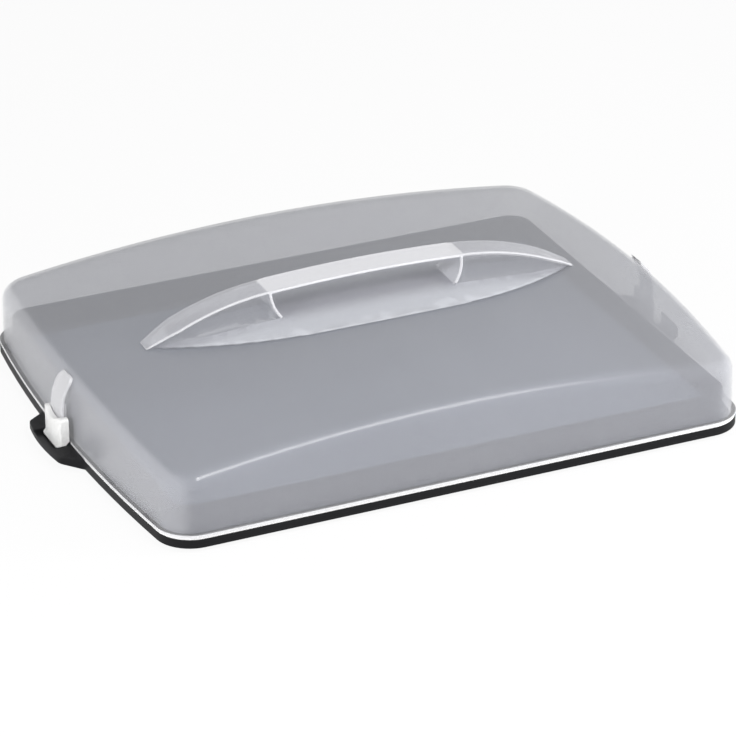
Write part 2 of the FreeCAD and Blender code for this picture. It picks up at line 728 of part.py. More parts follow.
# Contents: the sponge fills the well's floor, and the sheet lies on it.
SPONGE_TOP = f"{WELL_FLOOR_TOP} + sponge_thick"
sponge_inset = f"(({WELL_TOP} - {WELL_FLOOR_TOP}) * tan(well_draft) + sponge_clearance)"
sponge_length = f"({WELL_LENGTH} - 2 * {sponge_inset})"
sponge_depth = f"({WELL_DEPTH} - 2 * {sponge_inset})"
sponge_outline = rounded_rectangle(sponge_length, sponge_depth, f"(well_corner - {sponge_inset})")
sponge_plan = sketch("sponge_plan", PLAN, WELL_FLOOR_TOP, sponge_outline)
sponge_block = prism("sponge_block", sponge_plan, "sponge_thick")
doc.recompute()
sponge = rounded_edges("sponge", sponge_block, "sponge_round", lambda edge: edge.BoundBox.ZLength < 1e-3)
paper_outline = rounded_rectangle(
    f"{sponge_length} - 2 * paper_end_margin", f"{sponge_depth} - 2 * paper_side_margin", "paper_corner"
)
palette_paper = prism("palette_paper", sketch("paper_plan", PLAN, SPONGE_TOP, paper_outline), "paper_thick")

pieces = [
    base_tray,
    lid_seal,
    lid_shell,
    carry_handle,
    right_keeper,
    right_clip,
    right_pin,
    mirrored("latch_left_keeper", right_keeper),
    mirrored("latch_left_clip", right_clip),
    mirrored("latch_left_pin", right_pin),
    sponge,
    palette_paper,
]
doc.recompute()

failed = [item.Name for item in doc.Objects if {"Invalid", "Error"} & set(item.State)]
if failed:
    raise RuntimeError(f"not built: {failed}")
for piece in pieces:
    piece.Label = piece.Name
    if piece.Shape.isNull() or not piece.Shape.isValid() or len(piece.Shape.Solids) != 1:
        raise RuntimeError(f"{piece.Label} is not one valid solid")
os.makedirs("parts", exist_ok=True)
for piece in pieces:
    piece.Shape.exportStep(f"parts/{piece.Label}.step")
    box = piece.Shape.optimalBoundingBox()
    sides = " x ".join(f"{side:.1f}" for side in (box.XLength, box.YLength, box.ZLength))
    print(f"{piece.Label}: {sides} mm, {piece.Shape.Volume / 1000:.1f} cm3")
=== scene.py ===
import math

import bmesh
import bpy
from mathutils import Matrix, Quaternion, Vector


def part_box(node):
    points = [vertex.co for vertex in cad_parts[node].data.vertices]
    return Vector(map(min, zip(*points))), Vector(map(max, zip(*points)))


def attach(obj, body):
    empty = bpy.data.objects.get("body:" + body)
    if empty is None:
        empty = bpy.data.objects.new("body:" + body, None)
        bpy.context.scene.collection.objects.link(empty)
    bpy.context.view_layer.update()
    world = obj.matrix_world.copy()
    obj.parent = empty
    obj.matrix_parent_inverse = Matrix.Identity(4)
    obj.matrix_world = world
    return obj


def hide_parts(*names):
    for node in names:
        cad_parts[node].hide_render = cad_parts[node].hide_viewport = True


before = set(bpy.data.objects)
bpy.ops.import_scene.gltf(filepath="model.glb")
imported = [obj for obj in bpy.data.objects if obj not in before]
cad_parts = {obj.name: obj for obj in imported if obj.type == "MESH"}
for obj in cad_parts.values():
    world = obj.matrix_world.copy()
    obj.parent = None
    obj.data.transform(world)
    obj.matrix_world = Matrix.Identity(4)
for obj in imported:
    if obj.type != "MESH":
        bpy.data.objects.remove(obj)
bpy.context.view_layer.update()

# Tray: the black base that everything sits in or on. Injection moulded in polypropylene with a fine
# grain on it, all in one shot: the well with its upstand, the rim, the turned-down skirt and a
# hinge lug at each end.
TRAY_EDGE = 0.0004
RUB_SCALE, RUB_FROM, RUB_TO = 160.0, 0.58, 0.72
GLOSS_SWING, GRAIN_STRENGTH = 0.14, 0.35
SAME_POINT, SAME_PLANE = 2e-6, math.radians(0.01)
EDGE_SKIN = 1


def add(tree, kind, name, **settings):
    """A node of a tree, with its properties set by name and its sockets by place or name."""
    node = tree.nodes.new(kind)
    node.name = node.label = name
    sockets = settings.pop("sockets", {})
    for setting, value in settings.items():
        setattr(node, setting, value)
    for socket, value in sockets.items():
        if isinstance(value, bpy.types.NodeSocket):
            tree.links.new(value, node.inputs[socket])
        else:
            node.inputs[socket].default_value = value
    return node


def maths(tree, operation, *values, clamp=False):
    """The result of one sum on values or sockets."""
    node = add(
        tree, "ShaderNodeMath", operation.lower(), operation=operation, use_clamp=clamp,
        sockets=dict(enumerate(values)),
    )
    return node.outputs[0]


def mixed(tree, share, low, high):
    """A colour between two, by a share."""
    node = add(
        tree, "ShaderNodeMix", "blend", data_type="RGBA",
        sockets={"Factor": share, 6: low, 7: high},
    )
    return node.outputs[2]


def new_group(name, kind, inputs, outputs):
    """An empty node group with named sockets: (name, socket type, default) for each input."""
    tree = bpy.data.node_groups.new(name, kind)
    for label, socket, default in inputs:
        made = tree.interface.new_socket(label, in_out="INPUT", socket_type=socket)
        if default is not None:
            made.default_value = default
    for label, socket in outputs:
        tree.interface.new_socket(label, in_out="OUTPUT", socket_type=socket)
    return tree, tree.nodes.new("NodeGroupInput"), tree.nodes.new("NodeGroupOutput")


# Moulded grain: what the spark-eroded steel of a mould leaves on plastic. Grain is the height of
# the fine pits, Flow the slow unevenness of the skin, and Scuff the sparse spots rubbed in use.
grain, grain_in, grain_out = new_group(
    "moulded_grain",
    "ShaderNodeTree",
    [("Grain Size", "NodeSocketFloat", 0.0005), ("Flow Size", "NodeSocketFloat", 0.05)],
    [("Grain", "NodeSocketFloat"), ("Flow", "NodeSocketFloat"), ("Scuff", "NodeSocketFloat")],
)
place = add(grain, "ShaderNodeTexCoord", "place").outputs["Object"]
pit_scale = maths(grain, "DIVIDE", 1.0, grain_in.outputs["Grain Size"])
pits = add(
    grain, "ShaderNodeTexNoise", "pits",
    sockets={"Vector": place, "Scale": pit_scale, "Detail": 2.0},
)
flow_scale = maths(grain, "DIVIDE", 1.0, grain_in.outputs["Flow Size"])
flow = add(
    grain, "ShaderNodeTexNoise", "flow",
    sockets={"Vector": place, "Scale": flow_scale, "Detail": 3.0},
)
rubs = add(
    grain, "ShaderNodeTexNoise", "rubs",
    sockets={"Vector": place, "Scale": RUB_SCALE, "Detail": 5.0},
)
spots = add(
    grain, "ShaderNodeMapRange", "spots",
    sockets={"Value": rubs.outputs[0], "From Min": RUB_FROM, "From Max": RUB_TO},
)
grain.links.new(pits.outputs[0], grain_out.inputs["Grain"])
grain.links.new(flow.outputs[0], grain_out.inputs["Flow"])
grain.links.new(spots.outputs[0], grain_out.inputs["Scuff"])


def new_material(name, **sockets):
    """A material with its Principled shader's sockets set, its tree and that shader."""
    made = bpy.data.materials.new(name)
    made.use_nodes = True
    shader = made.node_tree.nodes["Principled BSDF"]
    for socket, value in sockets.items():
        shader.inputs[socket.replace("_", " ")].default_value = value
    return made, made.node_tree, shader


def moulded(name, dark, light, rough, grain_size, grain_depth, scuff, **sockets):
    """Moulded plastic: grained, uneven in tone and gloss, and a little rubbed."""
    made, tree, shader = new_material(name, **sockets)
    skin = add(
        tree, "ShaderNodeGroup", "skin", node_tree=grain, sockets={"Grain Size": grain_size}
    ).outputs
    colour = mixed(tree, skin["Flow"], (*dark, 1), (*light, 1))
    tree.links.new(colour, shader.inputs["Base Color"])
    gloss = maths(tree, "MULTIPLY_ADD", skin["Flow"], GLOSS_SWING, rough - GLOSS_SWING / 2)
    rubbed = maths(tree, "MULTIPLY_ADD", skin["Scuff"], scuff, gloss)
    tree.links.new(rubbed, shader.inputs["Roughness"])
    bump = add(
        tree, "ShaderNodeBump", "grain",
        sockets={"Strength": GRAIN_STRENGTH, "Distance": grain_depth, "Height": skin["Grain"]},
    )
    tree.links.new(bump.outputs[0], shader.inputs["Normal"])
    return made


def placed(name, data):
    """A new object of the scene, at the origin."""
    made = bpy.data.objects.new(name, data)
    bpy.context.scene.collection.objects.link(made)
    return made


def skinned(node, skins):
    """A copy of a moulding's mesh with its own materials."""
    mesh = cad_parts[node].data.copy()
    mesh.materials.clear()
    for skin in skins:
        mesh.materials.append(skin)
    return mesh


def softened(node, name, edge, skins, segments=2, angle=32, pick=None, share=None, join=True):
    """A copy of a moulding with its edges rounded, as a mould rounds them. Edges get the second
    skin, pick chooses a face's own skin, share says how much of the full rounding an edge gets, and
    join makes one face of those that lie flat together.
    """
    mesh = skinned(node, skins)
    if "custom_normal" in mesh.attributes:
        mesh.attributes.remove(mesh.attributes["custom_normal"])
    shape = bmesh.new()
    shape.from_mesh(mesh)
    bmesh.ops.remove_doubles(shape, verts=shape.verts, dist=SAME_POINT)
    if join:
        bmesh.ops.dissolve_limit(
            shape, angle_limit=SAME_PLANE, verts=shape.verts, edges=shape.edges, delimit={"NORMAL"}
        )
    for face in shape.faces:
        face.smooth = True
        face.material_index = pick(face) if pick else 0
    rounding = shape.edges.layers.float.new("bevel_weight_edge")
    for line in shape.edges:
        if line.is_manifold and line.calc_face_angle() > math.radians(angle):
            line[rounding] = share(line) if share else 1.0
    shape.to_mesh(mesh)
    shape.free()
    piece = placed(name, mesh)
    round_off = piece.modifiers.new("rounded edges", "BEVEL")
    round_off.width = edge
    round_off.segments = segments
    round_off.limit_method = "WEIGHT"
    round_off.use_clamp_overlap = False
    round_off.loop_slide = False
    round_off.harden_normals = True
    if len(skins) > EDGE_SKIN:
        round_off.material = EDGE_SKIN
    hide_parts(node)
    return piece


tray_skin = moulded(
    "tray_black", (0.006, 0.006, 0.007), (0.012, 0.012, 0.013), rough=0.5,
    grain_size=0.0006, grain_depth=0.00008, scuff=0.08, Specular_IOR_Level=0.14,
)
tray_edge = moulded(
    "tray_black_edge", (0.012, 0.012, 0.013), (0.022, 0.022, 0.024), rough=0.4,
    grain_size=0.0006, grain_depth=0.00005, scuff=0.1, Specular_IOR_Level=0.16,
)
tray = softened("base_tray", "tray", TRAY_EDGE, [tray_skin, tray_edge])
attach(tray, "base")

# Hinge pins: plain ground steel rods, one in each lug, pushed in from the back and held by their
# press fit. The clip turns on the middle of the rod.
ROD_MARKS = (200.0, 9000.0, 200.0)
STEEL_ROUGH, STEEL_ROUGH_SWING = 0.2, 0.25
STEEL_DARK, STEEL_BRIGHT = (0.45, 0.45, 0.46, 1), (0.68, 0.68, 0.67, 1)
steel, steel_tree, steel_shader = new_material("pin_steel", Metallic=1.0)
rod_place = add(steel_tree, "ShaderNodeTexCoord", "place").outputs["Object"]
along_rod = add(
    steel_tree, "ShaderNodeMapping", "turned", sockets={"Vector": rod_place, "Scale": ROD_MARKS}
)
turning = add(
    steel_tree, "ShaderNodeTexNoise", "turning marks",
    sockets={"Vector": along_rod.outputs[0], "Scale": 1.0, "Detail": 3.0},
).outputs[0]
rod_colour = mixed(steel_tree, turning, STEEL_DARK, STEEL_BRIGHT)
steel_tree.links.new(rod_colour, steel_shader.inputs["Base Color"])
rod_rough = maths(steel_tree, "MULTIPLY_ADD", turning, STEEL_ROUGH_SWING, STEEL_ROUGH)
steel_tree.links.new(rod_rough, steel_shader.inputs["Roughness"])
for side in ("left", "right"):
    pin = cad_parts[f"latch_{side}_pin"]
    pin.data.materials.clear()
    pin.data.materials.append(steel)

# Clips: white half-gloss polypropylene cups, one at each end. Each snaps over the lid's tongue and
# swings outwards on its pin to let the lid go.
CLIP_EDGE = 0.0006
clip_skin = moulded(
    "clip_white", (0.83, 0.83, 0.825), (0.89, 0.89, 0.885), rough=0.36,
    grain_size=0.0007, grain_depth=0.00006, scuff=0.1,
)
for side in ("left", "right"):
    clip = softened(f"latch_{side}_clip", f"clip_{side}", CLIP_EDGE, [clip_skin], segments=3)
    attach(clip, f"latch_{side}")

# Seal: a soft white ring that lies in the rim's groove, pressed by the lid's flange. Its edge is
# the white line all round.
seal_skin = moulded(
    "seal_white", (0.80, 0.80, 0.80), (0.88, 0.88, 0.88), rough=0.5,
    grain_size=0.0008, grain_depth=0.00006, scuff=0.1,
)
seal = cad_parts["lid_seal"]
seal.data.materials.clear()
seal.data.materials.append(seal_skin)

# Sponge: a slab of dark open-celled foam, cut to the well's floor. It holds the water that keeps
# the sheet damp, and lies loose.
SPONGE_LOW, SPONGE_HIGH = (Vector(corner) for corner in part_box("sponge"))
SPONGE_CORNER, SPONGE_EDGE, SPONGE_CELL = 0.0127, 0.002, 0.002
SIDE_ROWS, NOT_ZERO = 3.0, 1e-9
PORE_BOTTOM, PORE_RIM = 0.2, 0.6
FOAM_CELLS, FOAM_BIG_CELLS, FOAM_CONTRAST = 900.0, 330.0, 3.0
FOAM_DARK, FOAM_LIGHT = (0.03, 0.032, 0.037, 1), (0.085, 0.09, 0.1, 1)


def vectors(tree, operation, *values):
    """The result of one vector sum."""
    node = add(
        tree, "ShaderNodeVectorMath", operation.lower(), operation=operation,
        sockets=dict(enumerate(values)),
    )
    return node.outputs["Value" if operation == "LENGTH" else "Vector"]


def scaled(tree, vector, share):
    """A vector made longer or shorter."""
    node = add(
        tree, "ShaderNodeVectorMath", "scaled", operation="SCALE",
        sockets={0: vector, "Scale": share},
    )
    return node.outputs[0]


def joined(tree, name, x, y, z):
    """A vector from its three parts."""
    return add(tree, "ShaderNodeCombineXYZ", name, sockets={0: x, 1: y, 2: z}).outputs[0]


def parts(tree, vector):
    """The three parts of a vector."""
    return add(tree, "ShaderNodeSeparateXYZ", "parts", sockets={0: vector}).outputs


def rounded_off(tree, spot, core):
    """Points outside a core box drawn in, so that the box's square corners become round ones."""
    low = vectors(tree, "MULTIPLY", core, (-1.0, -1.0, -1.0))
    inside = vectors(tree, "MINIMUM", vectors(tree, "MAXIMUM", spot, low), core)
    out = vectors(tree, "SUBTRACT", spot, inside)
    sides = parts(tree, vectors(tree, "ABSOLUTE", out))
    reach = maths(tree, "MAXIMUM", maths(tree, "MAXIMUM", sides[0], sides[1]), sides[2])
    length = maths(tree, "MAXIMUM", vectors(tree, "LENGTH", out), NOT_ZERO)
    return vectors(tree, "ADD", inside, scaled(tree, out, maths(tree, "DIVIDE", reach, length)))


def half_less(tree, size, inset):
    """Half a size less an inset."""
    return maths(tree, "SUBTRACT", maths(tree, "MULTIPLY", size, 0.5), inset)


def end_tree(tree, made, material, output):
    """The end of a geometry tree: smooth faces, real instances and the material."""
    smooth = add(tree, "GeometryNodeSetShadeSmooth", "smooth", sockets={0: made})
    real = add(tree, "GeometryNodeRealizeInstances", "real", sockets={0: smooth.outputs[0]})
    finish = add(
        tree, "GeometryNodeSetMaterial", "finish",
        sockets={0: real.outputs[0], "Material": material},
    )
    tree.links.new(finish.outputs[0], output.inputs[0])


def grown(tree, name, material, start=None, **sizes):
    """The plain mesh that a geometry tree makes from its named sizes, and a path if it follows one,
    as a piece.
    """
    piece = placed(name, start or bpy.data.meshes.new(name))
    maker = piece.modifiers.new("maker", "NODES")
    maker.node_group = tree
    for socket in tree.interface.items_tree:
        if socket.in_out == "INPUT" and socket.name in sizes:
            maker[socket.identifier] = sizes[socket.name]
        elif socket.in_out == "INPUT" and socket.name == "Material":
            maker[socket.identifier] = material
    seen = piece.evaluated_get(bpy.context.evaluated_depsgraph_get())
    mesh = bpy.data.meshes.new_from_object(seen)
    piece.modifiers.remove(maker)
    piece.data = mesh
    mesh.name = name
    return piece


slab, slab_in, slab_out = new_group(
    "foam_slab",
    "GeometryNodeTree",
    [
        ("Size", "NodeSocketVector", (0.4, 0.3, 0.009)),
        ("Middle", "NodeSocketVector", (0.0, 0.0, 0.0)),
        ("Corner", "NodeSocketFloat", 0.012),
        ("Edge", "NodeSocketFloat", 0.002),
        ("Cell", "NodeSocketFloat", 0.002),
        ("Pore Size", "NodeSocketFloat", 0.005),
        ("Pore Depth", "NodeSocketFloat", 0.0007),
        ("Material", "NodeSocketMaterial", None),
    ],
    [("Geometry", "NodeSocketGeometry")],
)
slab_input = slab_in.outputs
slab_sizes = parts(slab, slab_input["Size"])
slab_counts = [
    maths(slab, "ADD", maths(slab, "DIVIDE", size, slab_input["Cell"]), 1.0) for size in slab_sizes
]
slab_block = add(
    slab, "GeometryNodeMeshCube", "block",
    sockets={
        "Size": slab_input["Size"],
        "Vertices X": slab_counts[0],
        "Vertices Y": slab_counts[1],
        "Vertices Z": maths(slab, "ADD", slab_counts[2], SIDE_ROWS),
    },
)
slab_place = add(slab, "GeometryNodeInputPosition", "place").outputs[0]
edge_core = joined(
    slab, "edge core", *(half_less(slab, size, slab_input["Edge"]) for size in slab_sizes)
)
corner_core = joined(
    slab, "corner core",
    half_less(slab, slab_sizes[0], slab_input["Corner"]),
    half_less(slab, slab_sizes[1], slab_input["Corner"]),
    slab_sizes[2],
)
slab_round = add(
    slab, "GeometryNodeSetPosition", "rounded",
    sockets={
        "Geometry": slab_block.outputs["Mesh"],
        "Position": rounded_off(slab, rounded_off(slab, slab_place, edge_core), corner_core),
    },
)
pore_scale = maths(slab, "DIVIDE", 1.0, slab_input["Pore Size"])
pores = add(
    slab, "ShaderNodeTexVoronoi", "pores", sockets={"Vector": slab_place, "Scale": pore_scale}
)
pore = add(
    slab, "ShaderNodeMapRange", "pore",
    sockets={
        "Value": pores.outputs["Distance"],
        "From Min": PORE_BOTTOM,
        "From Max": PORE_RIM,
        "To Min": -1.0,
        "To Max": 0.0,
    },
).outputs[0]
outwards = add(slab, "GeometryNodeInputNormal", "outwards").outputs[0]
sunk = scaled(slab, outwards, maths(slab, "MULTIPLY", pore, slab_input["Pore Depth"]))
slab_pitted = add(
    slab, "GeometryNodeSetPosition", "pitted",
    sockets={
        "Geometry": slab_round.outputs[0],
        "Offset": vectors(slab, "ADD", sunk, slab_input["Middle"]),
    },
)
end_tree(slab, slab_pitted.outputs[0], slab_input["Material"], slab_out)

foam, foam_tree, foam_shader = new_material("sponge_grey", Roughness=0.95, Specular_IOR_Level=0.2)
foam_place = add(foam_tree, "ShaderNodeTexCoord", "place").outputs["Object"]
cells, big_cells = (
    add(
        foam_tree, "ShaderNodeTexVoronoi", name, sockets={"Vector": foam_place, "Scale": scale}
    ).outputs["Distance"]
    for name, scale in (("cells", FOAM_CELLS), ("big cells", FOAM_BIG_CELLS))
)
# The foam is painted darker down in its cell pits, the bump's hollows: painted shade.
cell_depth = maths(foam_tree, "MULTIPLY", cells, big_cells)
painted_pit_shade = maths(foam_tree, "MULTIPLY", cell_depth, FOAM_CONTRAST, clamp=True)
foam_colour = mixed(foam_tree, painted_pit_shade, FOAM_DARK, FOAM_LIGHT)
foam_tree.links.new(foam_colour, foam_shader.inputs["Base Color"])
foam_bump = add(
    foam_tree, "ShaderNodeBump", "cell depth",
    sockets={"Strength": 0.8, "Distance": 0.0006, "Height": cell_depth},
)
foam_tree.links.new(foam_bump.outputs[0], foam_shader.inputs["Normal"])
sponge = grown(
    slab,
    "sponge_slab",
    foam,
    Size=SPONGE_HIGH - SPONGE_LOW,
    Middle=(SPONGE_LOW + SPONGE_HIGH) / 2,
    Corner=SPONGE_CORNER,
    Edge=SPONGE_EDGE,
    Cell=SPONGE_CELL,
)
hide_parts("sponge")
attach(sponge, "base")

# Sheet: damp palette paper laid on the sponge. It is cut from a roll, has no body of its own, and
# cockles a little where it has taken up water.
SHEET_LENGTH, SHEET_WIDTH, SHEET_THICK = 0.406, 0.305, 0.0003
FIBRE_SCALE = (400.0, 2200.0, 400.0)
DAMP_SCALE, DAMP_SHARE = 22.0, 0.65
PAPER_ROUGH, DAMP_SHINE = 0.85, -0.3
PAPER_DARK, PAPER_LIGHT = (0.13, 0.155, 0.2, 1), (0.185, 0.215, 0.27, 1)
leaf, leaf_in, leaf_out = new_group(
    "laid_sheet",
    "GeometryNodeTree",
    [
        ("Length", "NodeSocketFloat", 0.4),
        ("Width", "NodeSocketFloat", 0.3),
        ("Height", "NodeSocketFloat", 0.0),
        ("Corner", "NodeSocketFloat", 0.003),
        ("Cell", "NodeSocketFloat", 0.003),
        ("Cockle", "NodeSocketFloat", 0.0006),
        ("Cockle Size", "NodeSocketFloat", 0.06),
        ("Seed", "NodeSocketFloat", 4.0),
        ("Material", "NodeSocketMaterial", None),
    ],
    [("Geometry", "NodeSocketGeometry")],
)
leaf_input = leaf_in.outputs
leaf_flat = add(
    leaf, "GeometryNodeMeshGrid", "flat",
    sockets={
        "Size X": leaf_input["Length"],
        "Size Y": leaf_input["Width"],
        "Vertices X": maths(leaf, "DIVIDE", leaf_input["Length"], leaf_input["Cell"]),
        "Vertices Y": maths(leaf, "DIVIDE", leaf_input["Width"], leaf_input["Cell"]),
    },
)
leaf_place = add(leaf, "GeometryNodeInputPosition", "place").outputs[0]
leaf_core = joined(
    leaf, "corner core",
    half_less(leaf, leaf_input["Length"], leaf_input["Corner"]),
    half_less(leaf, leaf_input["Width"], leaf_input["Corner"]),
    1.0,
)
leaf_wave = add(
    leaf, "ShaderNodeTexNoise", "cockle", noise_dimensions="4D",
    sockets={
        "Vector": leaf_place,
        "W": leaf_input["Seed"],
        "Scale": maths(leaf, "DIVIDE", 1.0, leaf_input["Cockle Size"]),
        "Detail": 1.0,
    },
).outputs[0]
leaf_rise = maths(leaf, "MULTIPLY", leaf_wave, leaf_input["Cockle"])
leaf_lift = joined(leaf, "lift", 0.0, 0.0, maths(leaf, "ADD", leaf_rise, leaf_input["Height"]))
leaf_round = add(
    leaf, "GeometryNodeSetPosition", "rounded and cockled",
    sockets={
        "Geometry": leaf_flat.outputs["Mesh"],
        "Position": rounded_off(leaf, leaf_place, leaf_core),
        "Offset": leaf_lift,
    },
)
end_tree(leaf, leaf_round.outputs[0], leaf_input["Material"], leaf_out)

paper, paper_tree, paper_shader = new_material("paper_grey", Specular_IOR_Level=0.3)
paper_place = add(paper_tree, "ShaderNodeTexCoord", "place").outputs["Object"]
fibre_way = add(
    paper_tree, "ShaderNodeMapping", "fibre way",
    sockets={"Vector": paper_place, "Scale": FIBRE_SCALE},
)
fibres = add(
    paper_tree, "ShaderNodeTexNoise", "fibres",
    sockets={"Vector": fibre_way.outputs[0], "Scale": 1.0, "Detail": 4.0},
).outputs[0]
damp = add(
    paper_tree, "ShaderNodeTexNoise", "damp",
    sockets={"Vector": paper_place, "Scale": DAMP_SCALE, "Detail": 3.0},
).outputs[0]
paper_tone = add(
    paper_tree, "ShaderNodeMix", "tone", data_type="FLOAT",
    sockets={"Factor": DAMP_SHARE, 2: fibres, 3: damp},
).outputs[0]
paper_colour = mixed(paper_tree, paper_tone, PAPER_DARK, PAPER_LIGHT)
paper_tree.links.new(paper_colour, paper_shader.inputs["Base Color"])
paper_rough = maths(paper_tree, "MULTIPLY_ADD", damp, DAMP_SHINE, PAPER_ROUGH)
paper_tree.links.new(paper_rough, paper_shader.inputs["Roughness"])
paper_bump = add(
    paper_tree, "ShaderNodeBump", "fibre height",
    sockets={"Strength": 0.3, "Distance": 0.0001, "Height": fibres},
)
paper_tree.links.new(paper_bump.outputs[0], paper_shader.inputs["Normal"])
sheet = grown(
    leaf, "palette_sheet", paper, Length=SHEET_LENGTH, Width=SHEET_WIDTH, Height=SPONGE_HIGH.z
)
sheet_body = sheet.modifiers.new("thickness", "SOLIDIFY")
sheet_body.thickness = SHEET_THICK
sheet_body.offset = 1.0
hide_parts("palette_paper")
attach(sheet, "base")

# Lid: one thin dome of frosted polypropylene with a flange round its foot, moulded in one shot. Its
# wall lets the tray show through a milky haze. The flange's cut edge gathers light and looks white:
# its white skin is partly the plastic's own and partly painted light. The flange's top is painted
# dark, as painted shade where the wall meets it.
PLASTIC_IOR = 1.5
FORWARD = 0.55
# Where the painted light on the lid's ends, an emission, fades in by how far a face turns to them.
PAINTED_GLOW_FROM, PAINTED_GLOW_TO = 0.2, 0.7
LID_FOOT, LID_TOP = (corner[2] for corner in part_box("lid_shell"))
FLANGE_THICK = 0.0018
FLANGE_TOP = LID_FOOT + FLANGE_THICK
AT_HEIGHT, UPRIGHT, LEVEL = 1e-5, 0.1, 0.9
WALL, RIM, FLANGE_TOP_SHADE = range(3)


def frosted(name, dark, light, clear, rough, painted_glow=0.0, **sockets):
    """Frosted plastic of which a wall lets through the share clear, square on. A slanting ray bends
    as it goes in and so has a little further to go. Each of the wall's two faces has half of the
    haze. Light that the haze scatters mostly goes on forward, so the wall casts less shadow than it
    hides. The ends of the lid carry painted light, an emission that stands in for the light that
    comes in from outside.
    """
    made = moulded(
        name, dark, light, rough, grain_size=0.0007, grain_depth=0.00002, scuff=0.0, **sockets
    )
    tree = made.node_tree
    shader = tree.nodes["Principled BSDF"]
    slant = add(tree, "ShaderNodeLayerWeight", "slant", sockets={"Blend": 0.5}).outputs["Facing"]
    square = maths(tree, "POWER", maths(tree, "SUBTRACT", 1.0, slant), 2.0)
    bent = maths(tree, "DIVIDE", maths(tree, "SUBTRACT", 1.0, square), PLASTIC_IOR**2)
    path = maths(tree, "DIVIDE", 0.5, maths(tree, "SQRT", maths(tree, "SUBTRACT", 1.0, bent)))
    haze = maths(tree, "SUBTRACT", 1.0, maths(tree, "POWER", clear, path), clamp=True)
    rays = add(tree, "ShaderNodeLightPath", "rays").outputs
    lighting = maths(tree, "MAXIMUM", rays["Is Shadow Ray"], rays["Is Diffuse Ray"])
    kept = maths(tree, "SUBTRACT", 1.0, maths(tree, "MULTIPLY", lighting, FORWARD))
    tree.links.new(maths(tree, "MULTIPLY", haze, kept), shader.inputs["Alpha"])
    # Painted light: an emission on the end walls and shoulders standing in for light from outside.
    if painted_glow:
        facing = parts(tree, add(tree, "ShaderNodeTexCoord", "facing").outputs["Normal"])
        ends = add(
            tree, "ShaderNodeMapRange", "ends", interpolation_type="SMOOTHSTEP",
            sockets={
                "Value": maths(tree, "ABSOLUTE", facing["X"]),
                "From Min": PAINTED_GLOW_FROM,
                "From Max": PAINTED_GLOW_TO,
            },
        )
        painted_glow_colour = mixed(tree, ends.outputs[0], (0, 0, 0, 1), (painted_glow, painted_glow, painted_glow, 1))
        tree.links.new(painted_glow_colour, shader.inputs["Emission Color"])
        shader.inputs["Emission Strength"].default_value = 1.0
    return made


def lid_part(face):
    """Which skin a face of the lid has: its wall, the flange's cut edge or the flange's top."""
    spot, normal = face.center, face.normal
    # The flange's top gets the skin that is painted dark as shade.
    if abs(spot.z - FLANGE_TOP) < AT_HEIGHT and normal.z > LEVEL:
        return FLANGE_TOP_SHADE
    outside = normal.x * spot.x + normal.y * spot.y >= 0
    below = spot.z < FLANGE_TOP - AT_HEIGHT
    return RIM if below and abs(normal.z) < UPRIGHT and outside else WALL


# The lid's skin carries the painted light of the emission on its ends.
lid_skin = frosted(
    "lid_frosted", (0.382, 0.39, 0.428), (0.416, 0.424, 0.462), clear=0.4, rough=0.2, painted_glow=0.15,
    Specular_IOR_Level=0.8,
)
# The flange's cut edge: partly the plastic's own white, partly painted light.
lid_rim = frosted(
    "lid_frosted_rim", (0.72, 0.72, 0.74), (0.78, 0.78, 0.79), clear=0.02, rough=0.3
)
# The flange's top: a dark, nearly opaque skin, painted shade where the wall meets the flange.
flange_top_shade_skin = frosted(
    "lid_flange_top_painted_shade", (0.17, 0.17, 0.18), (0.21, 0.21, 0.22), clear=0.15, rough=0.3
)
lid_mesh = skinned("lid_shell", [lid_skin, lid_rim, flange_top_shade_skin])
for face in lid_mesh.polygons:
    face.material_index = lid_part(face)
lid = placed("lid", lid_mesh)
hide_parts("lid_shell")
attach(lid, "lid")

# Handle: a second frosted moulding, welded on the lid by its lens-shaped foot. The foot is milky
# along its rim and painted darker along its middle, as painted shade under the bar. Its wings are
# hollow and thin, their sides painted darker as painted shade. The bar over the finger opening is
# solid and painted whiter as painted light, and a bead runs round the opening's edge; the bead and
# the rounded edges carry a whiter skin, a painted highlight.
HANDLE_EDGE, BROKEN_EDGE = 0.0011, 0.33
HANDLE_HALF, ARCH_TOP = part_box("carry_handle")[1][0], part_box("carry_handle")[1][2]
ARCH_RADIUS, ARCH_END_RADIUS, ARCH_HALF = 1.170, 0.197, 0.075
ARCH_CENTRE = ARCH_TOP - ARCH_RADIUS
BAR_HALF, BAR_THICK, SIDE_SLOPE = 0.0112, 0.0022, 0.225
GRIP_HALF, GRIP_FOOT_HALF = 0.072, 0.064
CROWN_LENGTH, CROWN_DEPTH = 1.363, 1.870
WING, BAR, SIDE, FOOT = 0, 2, 3, 4
BAR_END, BAR_BELOW = GRIP_HALF + 0.002, BAR_THICK + 0.0004
SIDE_BELOW, SIDE_FACING, FOOT_BELOW = 0.0004, 0.6, 0.0012
SEATED, RIDGE_WITHIN, RIDGE_HALF, TIP, CLEAR_OF_LID = 0.0006, 0.0003, 0.004, 0.001, 0.0022
# From the middle: where the foot's painted shade under the bar is full, and where it has faded out.
BAR_SHADE_FULL, BAR_SHADE_GONE = 0.004, 0.03
BAR_SHADE_TONE = (0.36, 0.36, 0.40, 1)


def arch_height(x):
    """The height of the ridge's top at one place along it."""
    if abs(x) < ARCH_HALF:
        return ARCH_CENTRE + math.sqrt(ARCH_RADIUS**2 - x**2)
    apart = ARCH_RADIUS - ARCH_END_RADIUS
    inner = apart * ARCH_HALF / ARCH_RADIUS
    low = ARCH_CENTRE + apart * math.sqrt(1 - (ARCH_HALF / ARCH_RADIUS) ** 2)
    return low + math.sqrt(ARCH_END_RADIUS**2 - (abs(x) - inner) ** 2)


